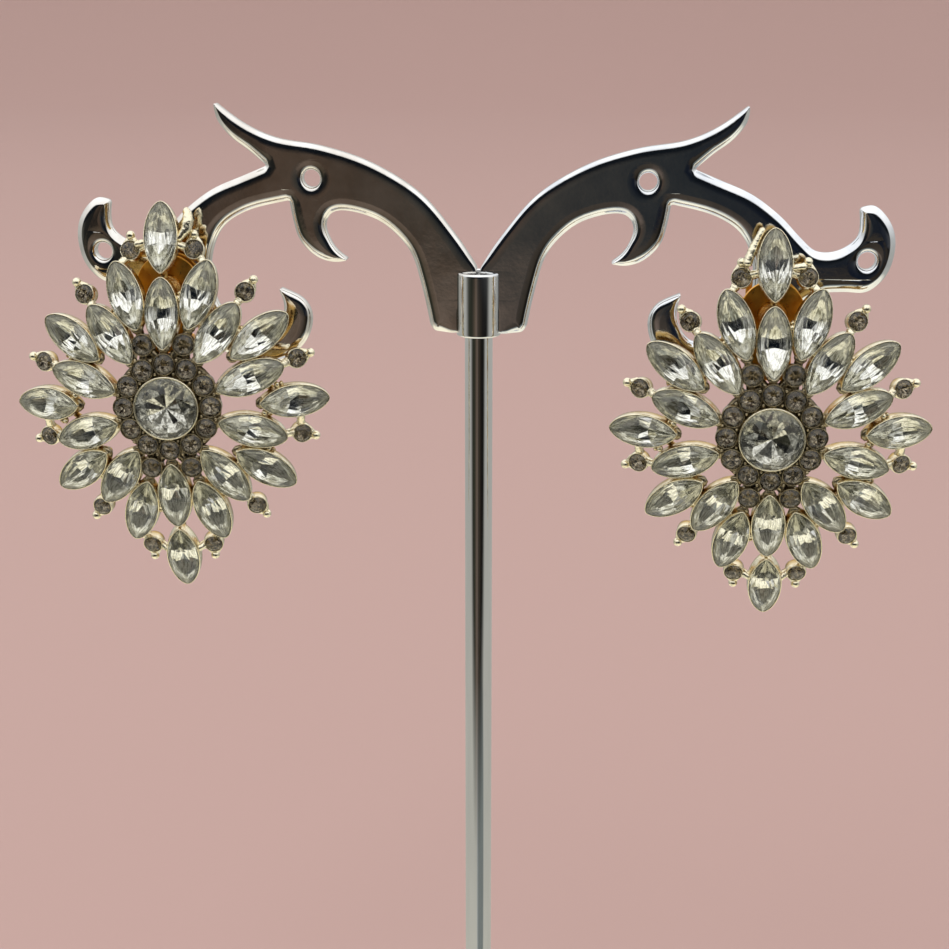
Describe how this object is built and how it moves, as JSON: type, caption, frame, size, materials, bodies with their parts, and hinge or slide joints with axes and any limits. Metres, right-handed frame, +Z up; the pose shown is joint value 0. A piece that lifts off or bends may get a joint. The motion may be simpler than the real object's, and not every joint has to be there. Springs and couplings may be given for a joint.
{
  "type": "pair of clip-on earrings on display stand",
  "caption": "Pair of clip-on earrings with a sunburst of pointed clear stones, a round middle stone and small smoky stones, clipped on a two-armed plated display stand.",
  "frame": {"origin": "middle of the round foot's underside, on the table", "axes": "+Z up along the rod, +X to the right as the stand is looked at from its front, +Y to its back; the earrings face -Y"},
  "size_m": [0.1447, 0.076, 0.1785],
  "materials": {
    "stand_chrome": "mirror plated steel",
    "stand_arms": "mirror plated, with rounded edges",
    "frame_gold": "polished pale gold plating on cast metal",
    "clip_gold": "polished amber gold plating on sheet metal",
    "clear_glass": "clear cut glass with a silver foil back",
    "centre_glass": "clear brilliant-cut glass with a silver foil back",
    "smoky_glass": "smoky grey cut glass with a foil back"
  },
  "bodies": {
    "stand": {"stand_base": "stand_chrome", "stand_post": "stand_chrome", "stand_collar": "stand_chrome", "stand_arm_left": "stand_arms", "stand_arm_right": "stand_arms", "left_frame": "frame_gold", "left_clip_base": "clip_gold", "left_centre_stone": "centre_glass", "left_small_stones": "smoky_glass", "left_navette_01": "clear_glass", "left_navette_02": "clear_glass", "left_navette_03": "clear_glass", "left_navette_04": "clear_glass", "left_navette_05": "clear_glass", "left_navette_06": "clear_glass", "left_navette_07": "clear_glass", "left_navette_08": "clear_glass", "left_navette_09": "clear_glass", "left_navette_10": "clear_glass", "left_navette_11": "clear_glass", "left_navette_12": "clear_glass", "left_navette_13": "clear_glass", "left_navette_14": "clear_glass", "left_navette_15": "clear_glass", "left_navette_16": "clear_glass", "left_navette_17": "clear_glass", "left_navette_18": "clear_glass", "left_navette_19": "clear_glass", "left_navette_20": "clear_glass", "left_navette_21": "clear_glass", "left_navette_22": "clear_glass", "right_frame": "frame_gold", "right_clip_base": "clip_gold", "right_centre_stone": "centre_glass", "right_small_stones": "smoky_glass", "right_navette_01": "clear_glass", "right_navette_02": "clear_glass", "right_navette_03": "clear_glass", "right_navette_04": "clear_glass", "right_navette_05": "clear_glass", "right_navette_06": "clear_glass", "right_navette_07": "clear_glass", "right_navette_08": "clear_glass", "right_navette_09": "clear_glass", "right_navette_10": "clear_glass", "right_navette_11": "clear_glass", "right_navette_12": "clear_glass", "right_navette_13": "clear_glass", "right_navette_14": "clear_glass", "right_navette_15": "clear_glass", "right_navette_16": "clear_glass", "right_navette_17": "clear_glass", "right_navette_18": "clear_glass", "right_navette_19": "clear_glass", "right_navette_20": "clear_glass", "right_navette_21": "clear_glass", "right_navette_22": "clear_glass"},
    "left_clip_lever": {"left_clip_lever": "clip_gold"},
    "right_clip_lever": {"right_clip_lever": "clip_gold"}
  },
  "joints": [
    {"name": "left_clip_hinge", "type": "hinge", "parent": "stand", "child": "left_clip_lever", "pos_m": [-0.0488, -0.00052, 0.1408], "axis": [-0.9987, -0.0471, -0.0209], "range_deg": [0, 75], "stiffness_Nm_per_rad": 0.002, "springref_deg": -22.92},
    {"name": "right_clip_hinge", "type": "hinge", "parent": "stand", "child": "right_clip_lever", "pos_m": [0.04573, 0.00027, 0.13803], "axis": [-0.9998, 0.0097, -0.0192], "range_deg": [0, 75], "stiffness_Nm_per_rad": 0.002, "springref_deg": -22.92}
  ]
}
